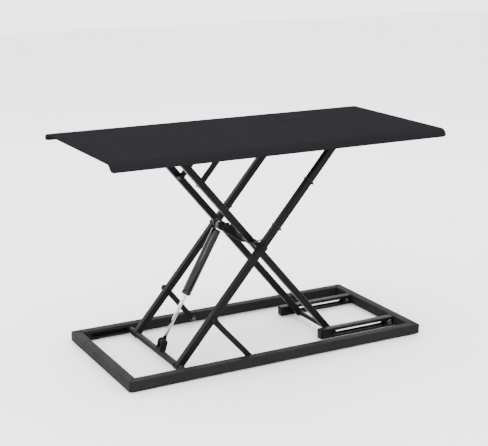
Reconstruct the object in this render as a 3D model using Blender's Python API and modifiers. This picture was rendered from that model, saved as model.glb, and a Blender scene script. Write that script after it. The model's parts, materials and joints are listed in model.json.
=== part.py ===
"""Standing desk converter: a sheet steel platform on a double scissor lift over a rectangular tube base.

Frame: metres, +Z up, +X to the user's right, +Y away from the user. The origin is on the table under the
middle of the base. The lift is modelled raised to its full height.

Two crossed arm frames meet on one pivot rod. The outer frame slides at its lower left end, the inner frame
at its upper left end, and short links hold both above the same point of the base, so the platform moves
straight up and down. A lockable gas spring pushes between the outer frame's lower shaft and a lever on the
pivot rod.
"""

import math

import bmesh
import bpy
from mathutils import Matrix, Vector

MM = 0.001
GAP = 0.3 * MM  # between parts that touch
WALL = 1.5 * MM  # steel tube wall

# Base frame
BASE_LENGTH = 620 * MM
BASE_DEPTH = 288 * MM
TUBE_WIDTH = 18 * MM
TUBE_BOTTOM = 1.5 * MM
TUBE_TOP = 20.5 * MM
FOOT_SIZE = (46 * MM, 13 * MM)

# Platform sheet
PLATFORM_LENGTH = 680 * MM
PLATFORM_DEPTH = 322 * MM
PLATFORM_TOP = 410 * MM
SHEET = 2 * MM
ROLL_RADIUS = 16 * MM
ROLL_ANGLE = math.radians(75)
ROLL_TAIL = 2.5 * MM
ROLL_STEPS = 7
LIP_CORNER = 7 * MM

# Scissor geometry, in the XZ plane
PIVOT_HEIGHT = 10.5 * MM  # slots and link anchors, up from the base's underside
LOWER_HALF = 265.2 * MM  # centre pivot to an arm's lower end
UPPER_HALF = 246.8 * MM  # centre pivot to an arm's upper end
LOWER_LINK = 104.6 * MM  # also the lower shaft to the link's bolt
UPPER_LINK = LOWER_LINK - (LOWER_HALF - UPPER_HALF) / 2  # so that the platform moves straight up
ANCHOR_X = -57.3 * MM
TOP_PIVOT_Z = PLATFORM_TOP - PIVOT_HEIGHT
ARM_ANGLE = math.asin((TOP_PIVOT_Z - PIVOT_HEIGHT) / (LOWER_HALF + UPPER_HALF))
FOLDED_ANGLE = ARM_ANGLE - math.radians(46)
SHAFT_X = ANCHOR_X - 2 * LOWER_LINK * math.cos(ARM_ANGLE)
CENTRE = Vector((SHAFT_X + LOWER_HALF * math.cos(ARM_ANGLE), 0,
                 PIVOT_HEIGHT + LOWER_HALF * math.sin(ARM_ANGLE)))
UPPER_SHAFT_X = CENTRE.x - UPPER_HALF * math.cos(ARM_ANGLE)
LOWER_ROLLER_X = CENTRE.x + LOWER_HALF * math.cos(ARM_ANGLE)
UPPER_ROLLER_X = CENTRE.x + UPPER_HALF * math.cos(ARM_ANGLE)
LOWER_BOLT = LOWER_HALF - LOWER_LINK  # centre pivot to a lower link's bolt
UPPER_BOLT = UPPER_HALF - UPPER_LINK  # centre pivot to an upper link's bolt

# Arms and links, in Y
ARM_SIZE = 13 * MM
OUTER_Y = 94.7 * MM
INNER_Y = 54.7 * MM
END_REACH = 5.7 * MM  # of an arm past its roller bar
LOWER_LINK_SIZE = (10.4 * MM, 5 * MM)  # wide, thick
LOWER_LINK_Y = (105.4 * MM, 121.4 * MM)  # middle of its thickness, at the arm and at the base
UPPER_LINK_SIZE = (10 * MM, 4 * MM)
UPPER_LINK_Y = 38 * MM
RAIL_Y = 76 * MM
RAIL_WIDE = 15 * MM
RAIL_START = 119 * MM
STOP_X = 281 * MM
UPPER_RAIL_TALL = 15.5 * MM

# Shafts and rollers
SHAFT_R = 6.35 * MM
BAR_R = 4.5 * MM
STUB_R = 2.6 * MM
ROLLER_R = 4.2 * MM
ROD_R = 4 * MM
BOLT_R = 3 * MM
INNER_WALL_Y = BASE_DEPTH / 2 - TUBE_WIDTH
SLOT_HEIGHT = 9 * MM
SLOT_END = 9 * MM  # roller's centre to the slot's end, at either end of its travel


def travel_slot(rest_x, folded_x):
    return (min(rest_x, folded_x) - SLOT_END, max(rest_x, folded_x) + SLOT_END)


def folded(arms, links):
    """X, when the lift is folded, of a point that is so much arm less so much link from the anchor."""
    return ANCHOR_X + (arms - links) * math.cos(FOLDED_ANGLE)


LOWER_SLIDE_SLOT = travel_slot(SHAFT_X, folded(0, 2 * LOWER_LINK))
UPPER_SLIDE_SLOT = travel_slot(UPPER_SHAFT_X, folded(0, 2 * UPPER_LINK))
LOWER_RAIL_SLOT = travel_slot(LOWER_ROLLER_X, folded(2 * LOWER_HALF, 2 * LOWER_LINK))
UPPER_RAIL_SLOT = travel_slot(UPPER_ROLLER_X, folded(2 * UPPER_HALF, 2 * UPPER_LINK))

# Gas spring
SPRING_Y = -16 * MM
SPRING_LOW = Vector((SHAFT_X + 5.7 * MM, SPRING_Y, PIVOT_HEIGHT + 20 * MM))
SPRING_HIGH = CENTRE + Vector((-47.1 * MM, SPRING_Y, 31 * MM))
SPRING_DIR = (SPRING_HIGH - SPRING_LOW).normalized()
SPRING_LENGTH = (SPRING_HIGH - SPRING_LOW).length
CYLINDER_R = 9 * MM
CYLINDER_BORE = 7.5 * MM
PISTON_ROD_R = 3.7 * MM
CYLINDER_START = 97 * MM  # from the low pin
CYLINDER_END = SPRING_LENGTH - 10 * MM
PIN_R = 3 * MM
CLEVIS_GAP = 5.6 * MM  # spring's middle to either lug
CLEVIS_LUG = 3 * MM
LEVER_GAP = 7.4 * MM  # spring's middle to either lever plate
LEVER_PLATE = 3 * MM

# Release lever and cable
LEVER_PIVOT = (311 * MM, -95 * MM, PLATFORM_TOP - 11.5 * MM)
CABLE_R = 1.3 * MM

BLACK_STEEL = ((0.020, 0.019, 0.022), 0.55, 0.0)
CHROME = ((0.78, 0.78, 0.80), 0.15, 1.0)
ZINC = ((0.55, 0.55, 0.56), 0.35, 1.0)
NYLON = ((0.012, 0.012, 0.013), 0.5, 0.0)
RUBBER = ((0.010, 0.010, 0.010), 0.85, 0.0)
CYLINDER_PAINT = ((0.008, 0.008, 0.009), 0.28, 0.0)


def clear_scene():
    for thing in list(bpy.data.objects):
        bpy.data.objects.remove(thing)


def collection(name):
    made = bpy.data.collections.new(name)
    bpy.context.scene.collection.children.link(made)
    return made


clear_scene()
PARTS = collection("standing_desk_converter")
CUTTERS = collection("cutters")
CUTTERS.hide_render = True


def finish_of(name, look):
    colour, roughness, metallic = look
    material = bpy.data.materials.new(name)
    material.use_nodes = True
    shader = material.node_tree.nodes["Principled BSDF"]
    shader.inputs["Base Color"].default_value = (*colour, 1)
    shader.inputs["Roughness"].default_value = roughness
    shader.inputs["Metallic"].default_value = metallic
    return material


def place(mesh, name, where=(0, 0, 0), look=None):
    made = bpy.data.objects.new(name, mesh)
    made.location = where
    if look is None:
        CUTTERS.objects.link(made)
        made.hide_render = True
        made.display_type = "WIRE"
    else:
        PARTS.objects.link(made)
        mesh.materials.append(finish_of(name, look))
        mesh.shade_smooth()
        mesh.set_sharp_from_angle(angle=math.radians(35))
    return made


def mesh_of(bm, name):
    bmesh.ops.recalc_face_normals(bm, faces=bm.faces)
    mesh = bpy.data.meshes.new(name)
    bm.to_mesh(mesh)
    bm.free()
    return mesh


def bevelled(thing, width, segments=2):
    bevel = thing.modifiers.new("edges", "BEVEL")
    bevel.width = width
    bevel.segments = segments
    bevel.limit_method = "ANGLE"
    bevel.angle_limit = math.radians(50)
    return thing


def cut(thing, *cutters):
    for cutter in cutters:
        hole = thing.modifiers.new(cutter.name, "BOOLEAN")
        hole.operation = "DIFFERENCE"
        hole.object = cutter
    return thing


def joined(thing, *others):
    for other in others:
        weld = thing.modifiers.new(other.name, "BOOLEAN")
        weld.operation = "UNION"
        weld.object = other
    return thing


def block(name, low, high, look=None, turn=0.0, pivot=None):
    """A box between two corners, turned about the Y axis through pivot."""
    bm = bmesh.new()
    bmesh.ops.create_cube(bm, size=1)
    low, high = Vector(low), Vector(high)
    size = high - low
    middle = (low + high) / 2
    about = middle if pivot is None else Vector(pivot)
    bm.transform(Matrix.Translation(middle - about) @ Matrix.Diagonal((*size, 1)))
    bm.transform(Matrix.Rotation(turn, 4, "Y"))
    return place(mesh_of(bm, name), name, about, look)


def rod(name, start, end, radius, look=None, sides=16):
    """A round bar from start to end."""
    start, end = Vector(start), Vector(end)
    axis = end - start
    bm = bmesh.new()
    bmesh.ops.create_cone(bm, cap_ends=True, segments=sides, radius1=radius,
                          radius2=radius, depth=axis.length)
    turn = Vector((0, 0, 1)).rotation_difference(axis).to_matrix().to_4x4()
    bm.transform(Matrix.Translation(axis / 2) @ turn)
    return place(mesh_of(bm, name), name, start, look)


def turned(name, profile, start, axis, look=None, steps=16):
    """A turned piece: profile is a closed outline of (along, radius) pairs, turned about the axis."""
    mesh = bpy.data.meshes.new(name)
    outline = list(profile)
    area = sum(r1 * a2 - r2 * a1 for (a1, r1), (a2, r2) in zip(outline, outline[1:] + outline[:1]))
    if area > 0:
        outline.reverse()
    points = [(radius, 0, along) for along, radius in outline]
    edges = [(i, (i + 1) % len(points)) for i in range(len(points))]
    mesh.from_pydata(points, edges, [])
    made = place(mesh, name, start, look)
    made.rotation_mode = "QUATERNION"
    made.rotation_quaternion = Vector((0, 0, 1)).rotation_difference(Vector(axis))
    screw = made.modifiers.new("turn", "SCREW")
    screw.steps = steps
    screw.render_steps = steps
    screw.use_merge_vertices = True
    screw.merge_threshold = 0.00001
    return made


def prism(name, outline, push, look=None):
    """A flat outline of points, pushed out along a vector."""
    bm = bmesh.new()
    face = bm.faces.new([bm.verts.new(point) for point in outline])
    pushed = bmesh.ops.extrude_face_region(bm, geom=[face])
    moved = [v for v in pushed["geom"] if isinstance(v, bmesh.types.BMVert)]
    bmesh.ops.translate(bm, verts=moved, vec=push)
    return place(mesh_of(bm, name), name, (0, 0, 0), look)


def slot_cutter(name, x_low, x_high, y_low, y_high, z):
    """A roller's slot with round ends, running along X and cut through in Y."""
    radius = SLOT_HEIGHT / 2
    ends = 6
    outline = []
    for centre, first in ((x_high - radius, -math.pi / 2), (x_low + radius, math.pi / 2)):
        for i in range(ends + 1):
            angle = first + math.pi * i / ends
            outline.append((centre + radius * math.cos(angle), radius * math.sin(angle)))
    return prism(name, [(x, y_low, z + up) for x, up in outline], (0, y_high - y_low, 0))


def plate(name, ends, thick, y_middle, look=None, holes=()):
    """A flat plate in the XZ plane with two round ends, each (x, z, radius), and round holes."""
    (x1, z1, r1), (x2, z2, r2) = ends
    heading = math.atan2(z2 - z1, x2 - x1)
    steps = 8
    near = y_middle - thick / 2
    outline = []
    for x, z, radius, first in ((x2, z2, r2, heading - math.pi / 2), (x1, z1, r1, heading + math.pi / 2)):
        for i in range(steps + 1):
            angle = first + math.pi * i / steps
            outline.append((x + radius * math.cos(angle), near, z + radius * math.sin(angle)))
    made = prism(name, outline, (0, thick, 0), look)
    for number, (x, z, radius) in enumerate(holes):
        cutter = rod(f"{name}_hole_{number}", (x, y_middle - thick, z), (x, y_middle + thick, z), radius)
        cut(made, cutter)
    return made


def sides():
    """The front and rear copies of a piece: the name's ending and the sign of Y."""
    return (("front", -1), ("rear", 1))


def span(sign, near, far):
    """Y limits, lowest first, of a piece between two distances from the middle on one side."""
    return (sign * far, sign * near) if sign < 0 else (near, far)


# --- Base -----------------------------------------------------------------------------------------------


def mitred_tube(name, length, centre):
    """A square tube with mitred, open ends. Its length is measured on its outer long edge."""
    height = TUBE_TOP - TUBE_BOTTOM
    bm = bmesh.new()
    bmesh.ops.create_cube(bm, size=1)
    bm.transform(Matrix.Diagonal((length, TUBE_WIDTH, height, 1)))
    for v in bm.verts:  # the outer face is at -Y, so the inner edge is one tube width shorter at each end
        if v.co.y > 0:
            v.co.x -= math.copysign(TUBE_WIDTH, v.co.x)
        v.co.x -= math.copysign(GAP / 2, v.co.x)
    turn = math.atan2(centre[1], centre[0]) + math.pi / 2
    tube = place(mesh_of(bm, name), name, centre, BLACK_STEEL)
    tube.rotation_euler = (0, 0, turn)
    bevelled(tube, 1.6 * MM)
    core = bmesh.new()
    bmesh.ops.create_cube(core, size=1)
    core.transform(Matrix.Diagonal((length + TUBE_WIDTH, TUBE_WIDTH - 2 * WALL, height - 2 * WALL, 1)))
    hollow = place(mesh_of(core, name + "_core"), name + "_core", centre)
    hollow.rotation_euler = (0, 0, turn)
    return cut(tube, hollow)


def base_frame():
    middle = (TUBE_BOTTOM + TUBE_TOP) / 2
    reach_y = BASE_DEPTH / 2 - TUBE_WIDTH / 2
    reach_x = BASE_LENGTH / 2 - TUBE_WIDTH / 2
    for end, sign in sides():
        rail = mitred_tube(f"base_rail_{end}", BASE_LENGTH, (0, sign * reach_y, middle))
        low, high = span(sign, INNER_WALL_Y - 3 * MM, INNER_WALL_Y + 4 * MM)
        cut(rail, slot_cutter(f"slide_slot_{end}", *LOWER_SLIDE_SLOT, low, high, PIVOT_HEIGHT))
    for end, sign in (("left", -1), ("right", 1)):
        mitred_tube(f"base_rail_{end}", BASE_DEPTH, (sign * reach_x, 0, middle))
    for x_end, x_sign in (("left", -1), ("right", 1)):
        for y_end, y_sign in sides():
            foot(f"foot_{y_end}_{x_end}", x_sign * (BASE_LENGTH / 2 - 30 * MM), y_sign * reach_y)


def foot(name, x, y):
    length, width = FOOT_SIZE
    pad = block(name, (x - length / 2, y - width / 2, 0),
                (x + length / 2, y + width / 2, TUBE_BOTTOM - GAP), RUBBER)
    bevelled(pad, 0.4 * MM, 1)


def slotted_rail(name, sign, z_low, z_high, z_slot, x_end, slot_ends):
    """A short tube with a slot through both sides, closed at its left end, and welded at its right end."""
    low, high = span(sign, RAIL_Y - RAIL_WIDE / 2, RAIL_Y + RAIL_WIDE / 2)
    rail = block(name, (RAIL_START, low, z_low), (x_end - GAP, high, z_high), BLACK_STEEL)
    bevelled(rail, 1.5 * MM)
    core = block(name + "_core", (RAIL_START + 4 * MM, low + WALL, z_low + WALL),
                 (x_end + 5 * MM, high - WALL, z_high - WALL))
    slot = slot_cutter(name + "_slot", *slot_ends, low - 3 * MM, high + 3 * MM, z_slot)
    hole = rod(name + "_stop_hole", (STOP_X, low - MM, z_slot), (STOP_X, high + MM, z_slot), BOLT_R + GAP)
    return cut(rail, core, slot, hole)


def stop_bolt(name, sign, z):
    """A button head bolt across the rail, past the end of the slot."""
    face = RAIL_Y + RAIL_WIDE / 2 + GAP + 2.6 * MM
    length = RAIL_WIDE + 4.5 * MM
    profile = [(0, 0), (0, 3.5 * MM), (0.8 * MM, 5 * MM), (2.6 * MM, 5.4 * MM), (2.6 * MM, BOLT_R),
               (length, BOLT_R), (length, 0)]
    return turned(name, profile, (STOP_X, sign * face, z), (0, -sign, 0), ZINC)


def link_anchor(name, sign, x, z):
    """A shouldered stud on the base rail's inner wall, with a round head on the link's near side."""
    wall = INNER_WALL_Y - GAP
    far = LOWER_LINK_Y[1] + LOWER_LINK_SIZE[1] / 2 + GAP
    near = LOWER_LINK_Y[1] - LOWER_LINK_SIZE[1] / 2 - GAP
    head = near - 2.4 * MM
    profile = [(0, 0), (0, 7 * MM), (wall - far, 7 * MM), (wall - far, BOLT_R), (wall - near, BOLT_R),
               (wall - near, 4.6 * MM), (wall - head - 0.8 * MM, 4.6 * MM), (wall - head, 3.6 * MM),
               (wall - head, 0)]
    return turned(name, profile, (x, sign * wall, z), (0, -sign, 0), ZINC)


def base_fittings():
    right = BASE_LENGTH / 2 - TUBE_WIDTH
    for end, sign in sides():
        slotted_rail(f"slotted_rail_{end}", sign, TUBE_BOTTOM, TUBE_TOP, PIVOT_HEIGHT, right,
                     LOWER_RAIL_SLOT)
        stop_bolt(f"stop_bolt_{end}", sign, PIVOT_HEIGHT)
        link_anchor(f"link_anchor_{end}", sign, ANCHOR_X, PIVOT_HEIGHT)


# --- Arms -----------------------------------------------------------------------------------------------


def along_arm(reach, slope, y=0.0):
    """A point on an arm: reach from the centre pivot, upwards; slope +1 leans right and -1 leans left."""
    return CENTRE + Vector((slope * reach * math.cos(ARM_ANGLE), y, reach * math.sin(ARM_ANGLE)))


def arm(name, slope, y, low_reach, high_reach, holes):
    """A square bar along an arm's line, with (reach, radius) holes. One at its very end saddles a shaft."""
    ends = (-low_reach, high_reach) if slope > 0 else (-high_reach, low_reach)
    half = ARM_SIZE / 2
    made = block(name, (CENTRE.x + ends[0], y - half, CENTRE.z - half),
                 (CENTRE.x + ends[1], y + half, CENTRE.z + half), BLACK_STEEL,
                 -slope * ARM_ANGLE, (CENTRE.x, y, CENTRE.z))
    bevelled(made, 1.4 * MM)
    across = Vector((0, ARM_SIZE, 0))
    for number, (reach, radius) in enumerate(holes):
        where = along_arm(reach, slope, y)
        cut(made, rod(f"{name}_cut_{number}", where - across, where + across, radius))
    return made


def slide_shaft(name, x, z, wall_y):
    """A shaft with a thin stub at each end that carries a roller."""
    shoulder = wall_y - 2.6 * MM
    tip = wall_y + 5 * MM
    profile = [(-tip, 0), (-tip, STUB_R), (-shoulder, STUB_R), (-shoulder, SHAFT_R), (shoulder, SHAFT_R),
               (shoulder, STUB_R), (tip, STUB_R), (tip, 0)]
    return turned(name, profile, (x, 0, z), (0, 1, 0), BLACK_STEEL, 24)


def flanged_roller(name, sign, x, z, wall_y):
    """A nylon roller in the wall's slot, with a washer face on the inner side."""
    start = wall_y - 2.2 * MM
    length = 6.2 * MM
    bore = STUB_R + 0.1 * MM
    profile = [(0, bore), (0, 6.4 * MM), (1.5 * MM, 6.4 * MM), (1.5 * MM, ROLLER_R), (length, ROLLER_R),
               (length, bore)]
    return turned(name, profile, (x, sign * start, z), (0, sign, 0), NYLON)


def bar_roller(name, sign, x, z):
    """A plain nylon roller inside a slotted rail."""
    start = RAIL_Y - RAIL_WIDE / 2 + 1.0 * MM
    length = RAIL_WIDE - 2.0 * MM
    bore = STUB_R + 0.1 * MM
    profile = [(0, bore), (0, ROLLER_R), (length, ROLLER_R), (length, bore)]
    return turned(name, profile, (x, sign * start, z), (0, sign, 0), NYLON)


def outer_frame():
    """The arms that rise to the right, with the sliding lower shaft and the upper roller bar."""
    for end, sign in sides():
        arm(f"outer_arm_{end}", 1, sign * OUTER_Y, LOWER_HALF, UPPER_HALF + END_REACH,
            [(-LOWER_HALF, SHAFT_R + GAP), (-LOWER_BOLT, BOLT_R + GAP), (0, ROD_R + GAP),
             (UPPER_HALF, BAR_R + GAP)])
        lower_link_bolt(f"lower_link_bolt_{end}", sign)
        flanged_roller(f"lower_shaft_roller_{end}", sign, SHAFT_X, PIVOT_HEIGHT, INNER_WALL_Y)
        bar_roller(f"upper_bar_roller_{end}", sign, UPPER_ROLLER_X, TOP_PIVOT_Z)
    slide_shaft("lower_slide_shaft", SHAFT_X, PIVOT_HEIGHT, INNER_WALL_Y)
    upper_bar()
    spring_clevis()


def upper_bar():
    """The outer frame's top bar, thinner where the rollers sit inside the slotted rails."""
    neck_in = RAIL_Y - RAIL_WIDE / 2 - 1.5 * MM
    neck_out = RAIL_Y + RAIL_WIDE / 2 + 1.5 * MM
    tip = OUTER_Y + ARM_SIZE / 2 + MM
    half = [(neck_in, BAR_R), (neck_in, STUB_R), (neck_out, STUB_R), (neck_out, BAR_R), (tip, BAR_R),
            (tip, 0)]
    mirrored = [(-along, radius) for along, radius in reversed(half)]
    turned("upper_roller_bar", mirrored + half, (UPPER_ROLLER_X, 0, TOP_PIVOT_Z), (0, 1, 0), BLACK_STEEL)


def lower_link_bolt(name, sign):
    """A pin through an outer arm and its link: flush in the arm, a washer between, a nut outside."""
    where = along_arm(-LOWER_BOLT, 1)
    start = OUTER_Y - ARM_SIZE / 2 + GAP
    washer = OUTER_Y + ARM_SIZE / 2 + GAP - start
    link = LOWER_LINK_Y[0] - LOWER_LINK_SIZE[1] / 2 - GAP - start
    nut = link + LOWER_LINK_SIZE[1] + 2 * GAP
    profile = [(0, 0), (0, BOLT_R), (washer, BOLT_R), (washer, 6 * MM), (link, 6 * MM), (link, BOLT_R),
               (nut, BOLT_R), (nut, 5.4 * MM), (nut + 2.8 * MM, 5.4 * MM), (nut + 3.8 * MM, 4.4 * MM),
               (nut + 3.8 * MM, 0)]
    return turned(name, profile, (where.x, sign * start, where.z), (0, sign, 0), BLACK_STEEL)


def upper_link_bolt(name, sign):
    """A pin inwards from an inner arm: a long boss, then the link, then a round head."""
    where = along_arm(UPPER_BOLT, -1)
    start = INNER_Y + ARM_SIZE / 2 - GAP
    boss = start - (INNER_Y - ARM_SIZE / 2 - GAP)
    link = start - (UPPER_LINK_Y + UPPER_LINK_SIZE[1] / 2 + GAP)
    head = link + UPPER_LINK_SIZE[1] + 2 * GAP
    profile = [(0, 0), (0, BOLT_R), (boss, BOLT_R), (boss, 5.4 * MM), (link, 5.4 * MM), (link, BOLT_R),
               (head, BOLT_R), (head, 5.2 * MM), (head + 3 * MM, 5.2 * MM), (head + 4 * MM, 4.2 * MM),
               (head + 4 * MM, 0)]
    return turned(name, profile, (where.x, sign * start, where.z), (0, -sign, 0), BLACK_STEEL)


def spring_clevis():
    """Two hooked lugs saddled on the lower shaft, open to the left, that hold the gas spring's pin."""
    middle = CLEVIS_GAP + CLEVIS_LUG / 2
    root = Vector((SHAFT_X, 0, PIVOT_HEIGHT)).lerp(SPRING_LOW, 0.3)
    ends = ((root.x, root.z, 6.4 * MM), (SPRING_LOW.x, SPRING_LOW.z, 6.6 * MM))
    first = plate("spring_clevis", ends, CLEVIS_LUG, SPRING_Y - middle, BLACK_STEEL)
    second = plate("clevis_far_lug", ends, CLEVIS_LUG, SPRING_Y + middle)
    low, high = SPRING_Y - middle - CLEVIS_LUG / 2, SPRING_Y + middle + CLEVIS_LUG / 2
    bridge = rod("clevis_bridge", (root.x, low, root.z), (root.x, high, root.z), 5.4 * MM)
    joined(first, second, bridge)
    bore = rod("clevis_bore", (SHAFT_X, low - MM, PIVOT_HEIGHT), (SHAFT_X, high + MM, PIVOT_HEIGHT),
               SHAFT_R + GAP)
    seat = rod("clevis_seat", (SPRING_LOW.x, low - MM, SPRING_LOW.z),
               (SPRING_LOW.x, high + MM, SPRING_LOW.z), PIN_R + GAP)
    cut(first, bore, seat, hook_mouth(low - MM, high + MM))


def hook_mouth(low, high):
    """The mouth of the clevis hooks: from the pin's seat out to the left, wider below than above."""
    x, z = SPRING_LOW.x, SPRING_LOW.z
    reach = 12 * MM
    outline = [(x, z - PIN_R - GAP), (x, z + PIN_R + GAP), (x - reach / 4, z + PIN_R + 3 * GAP),
               (x - reach, z + PIN_R + 3 * GAP), (x - reach, z - PIN_R - 4.5 * MM)]
    return prism("hook_mouth", [(x, low, z) for x, z in outline], (0, high - low, 0))


def inner_frame():
    """The arms that rise to the left, with the sliding upper shaft, lower roller bar and pivot rod."""
    for end, sign in sides():
        arm(f"inner_arm_{end}", -1, sign * INNER_Y, LOWER_HALF + END_REACH, UPPER_HALF,
            [(UPPER_HALF, SHAFT_R + GAP), (UPPER_BOLT, BOLT_R + GAP), (0, ROD_R + GAP),
             (-LOWER_HALF, BAR_R + GAP)])
        upper_link_bolt(f"upper_link_bolt_{end}", sign)
        flanged_roller(f"upper_shaft_roller_{end}", sign, UPPER_SHAFT_X, TOP_PIVOT_Z, INNER_WALL_Y)
        bar_roller(f"lower_bar_roller_{end}", sign, LOWER_ROLLER_X, PIVOT_HEIGHT)
        pivot_spacer(f"pivot_spacer_{end}", sign)
    slide_shaft("upper_slide_shaft", UPPER_SHAFT_X, TOP_PIVOT_Z, INNER_WALL_Y)
    tip = RAIL_Y + RAIL_WIDE / 2 - 0.5 * MM
    shoulder = RAIL_Y - RAIL_WIDE / 2 - MM
    profile = [(-tip, 0), (-tip, STUB_R), (-shoulder, STUB_R), (-shoulder, BAR_R), (shoulder, BAR_R),
               (shoulder, STUB_R), (tip, STUB_R), (tip, 0)]
    turned("lower_roller_bar", profile, (LOWER_ROLLER_X, 0, PIVOT_HEIGHT), (0, 1, 0), BLACK_STEEL)
    pivot_rod()
    spring_lever()
    release_head()


def pivot_spacer(name, sign):
    """A sleeve on the pivot rod that keeps the arms apart."""
    start = INNER_Y + ARM_SIZE / 2 + GAP
    length = OUTER_Y - ARM_SIZE / 2 - GAP - start
    bore = ROD_R + GAP
    collar = 7.5 * MM
    profile = [(0, bore), (0, collar), (4 * MM, collar), (4 * MM, 5.6 * MM), (length - 3 * MM, 5.6 * MM),
               (length - 3 * MM, collar), (length, collar), (length, bore)]
    return turned(name, profile, (CENTRE.x, sign * start, CENTRE.z), (0, sign, 0), BLACK_STEEL)


def pivot_rod():
    """The rod that both pairs of arms turn on, with a washer and a peened head at each end."""
    washer = OUTER_Y + ARM_SIZE / 2 + GAP
    half = [(washer, ROD_R), (washer, 7.5 * MM), (washer + 1.2 * MM, 7.5 * MM),
            (washer + 1.2 * MM, 6.2 * MM),
            (washer + 3.4 * MM, 6.2 * MM), (washer + 4.4 * MM, 5.2 * MM), (washer + 4.4 * MM, 0)]
    mirrored = [(-along, radius) for along, radius in reversed(half)]
    return turned("pivot_rod", mirrored + half, CENTRE, (0, 1, 0), BLACK_STEEL)


def spring_lever():
    """Two lever plates from the pivot rod to the gas spring's upper pin, on one collar."""
    ends = ((CENTRE.x, CENTRE.z, 8.5 * MM), (SPRING_HIGH.x, SPRING_HIGH.z, 7.6 * MM))
    middle = LEVER_GAP + LEVER_PLATE / 2
    first = plate("spring_lever", ends, LEVER_PLATE, SPRING_Y - middle, BLACK_STEEL)
    second = plate("lever_far_plate", ends, LEVER_PLATE, SPRING_Y + middle)
    low, high = SPRING_Y - middle - LEVER_PLATE / 2, SPRING_Y + middle + LEVER_PLATE / 2
    collar = rod("lever_collar", (CENTRE.x, low, CENTRE.z), (CENTRE.x, high, CENTRE.z), 7.5 * MM)
    pin = rod("lever_pin", (SPRING_HIGH.x, low - 1.5 * MM, SPRING_HIGH.z),
              (SPRING_HIGH.x, high + 1.5 * MM, SPRING_HIGH.z), PIN_R)
    joined(first, second, collar, pin)
    bore = rod("lever_bore", (CENTRE.x, low - MM, CENTRE.z), (CENTRE.x, high + MM, CENTRE.z), ROD_R + GAP)
    cut(first, bore)


def release_head():
    """The small release box on the near lever plate, which presses the pin in the gas spring's end."""
    face = SPRING_Y - LEVER_GAP - LEVER_PLATE - GAP
    low = (SPRING_HIGH.x + 3.6 * MM, face - 4 * MM, SPRING_HIGH.z - 4 * MM)
    high = (SPRING_HIGH.x + 14 * MM, face, SPRING_HIGH.z + 4 * MM)
    bevelled(block("release_head", low, high, NYLON), 1.2 * MM)


def lower_link(name, sign):
    """A strap from an outer arm's bolt to the base rail, joggled outwards along its middle half."""
    wide, thick = LOWER_LINK_SIZE
    bolt = along_arm(-LOWER_BOLT, 1)
    anchor = Vector((ANCHOR_X, 0, PIVOT_HEIGHT))
    holes = [(bolt.x, bolt.z, BOLT_R + 0.1 * MM), (anchor.x, anchor.z, BOLT_R + 0.1 * MM)]
    middle = sign * sum(LOWER_LINK_Y) / 2
    ends = ((bolt.x, bolt.z, wide / 2), (anchor.x, anchor.z, wide / 2))
    link = plate(name, ends, 50 * MM, middle, BLACK_STEEL, holes)
    along = (anchor - bolt).normalized()
    across = Vector((-along.z, 0, along.x)) * wide
    near, far = LOWER_LINK_Y
    line = [(-wide, near), (LOWER_LINK * 0.25, near), (LOWER_LINK * 0.75, far), (LOWER_LINK + wide, far)]
    outline = [(reach, y - thick / 2) for reach, y in line]
    outline += [(reach, y + thick / 2) for reach, y in reversed(line)]
    points = [bolt + along * reach + Vector((0, sign * y, 0)) - across for reach, y in outline]
    strap = link.modifiers.new("joggle", "BOOLEAN")
    strap.operation = "INTERSECT"
    strap.object = prism(name + "_joggle", points, 2 * across)


def links():
    """The two lower links outside the outer arms and the two upper links inside the inner arms."""
    bolt = along_arm(UPPER_BOLT, -1)
    wide, thick = UPPER_LINK_SIZE
    for end, sign in sides():
        lower_link(f"lower_link_{end}", sign)
        plate(f"upper_link_{end}", ((bolt.x, bolt.z, wide / 2), (ANCHOR_X, TOP_PIVOT_Z, wide / 2)),
              thick, sign * UPPER_LINK_Y, BLACK_STEEL,
              [(bolt.x, bolt.z, BOLT_R + 0.1 * MM), (ANCHOR_X, TOP_PIVOT_Z, BOLT_R + 0.1 * MM)])


# --- Gas spring -----------------------------------------------------------------------------------------


def gas_spring():
    start = SPRING_LOW + SPRING_DIR * CYLINDER_START
    length = CYLINDER_END - CYLINDER_START
    profile = [(0, 5 * MM), (0, CYLINDER_R - MM), (MM, CYLINDER_R), (length - MM, CYLINDER_R),
               (length, CYLINDER_R - MM), (length, CYLINDER_BORE - 2 * MM),
               (length - 2.5 * MM, CYLINDER_BORE - 2 * MM),
               (length - 2.5 * MM, CYLINDER_BORE), (3 * MM, CYLINDER_BORE), (3 * MM, 5 * MM)]
    turned("gas_spring_cylinder", profile, start, SPRING_DIR, CYLINDER_PAINT, 24)
    end_fitting()
    rod_length = CYLINDER_START + 34 * MM
    profile = [(2 * MM, 0), (2 * MM, PISTON_ROD_R), (rod_length, PISTON_ROD_R), (rod_length, 0)]
    plunger = turned("gas_spring_rod", profile, SPRING_LOW, SPRING_DIR, CHROME)
    lug_out = CLEVIS_GAP + CLEVIS_LUG + 0.4 * MM
    half = [(5.2 * MM, 5 * MM), (5.2 * MM, PIN_R), (lug_out, PIN_R), (lug_out, 4.8 * MM),
            (lug_out + 1.4 * MM, 4.2 * MM), (lug_out + 1.4 * MM, 0)]
    mirrored = [(-along, radius) for along, radius in reversed(half)]
    joined(plunger, turned("spring_eye_and_pin", mirrored + half, SPRING_LOW, (0, 1, 0)))
    piston = [(0, 0), (0, 6.6 * MM), (2 * MM, 7 * MM), (6 * MM, 7 * MM), (8 * MM, 6.6 * MM), (8 * MM, 0)]
    turned("gas_spring_piston", piston, SPRING_LOW + SPRING_DIR * (rod_length + GAP), SPRING_DIR, NYLON)


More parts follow.
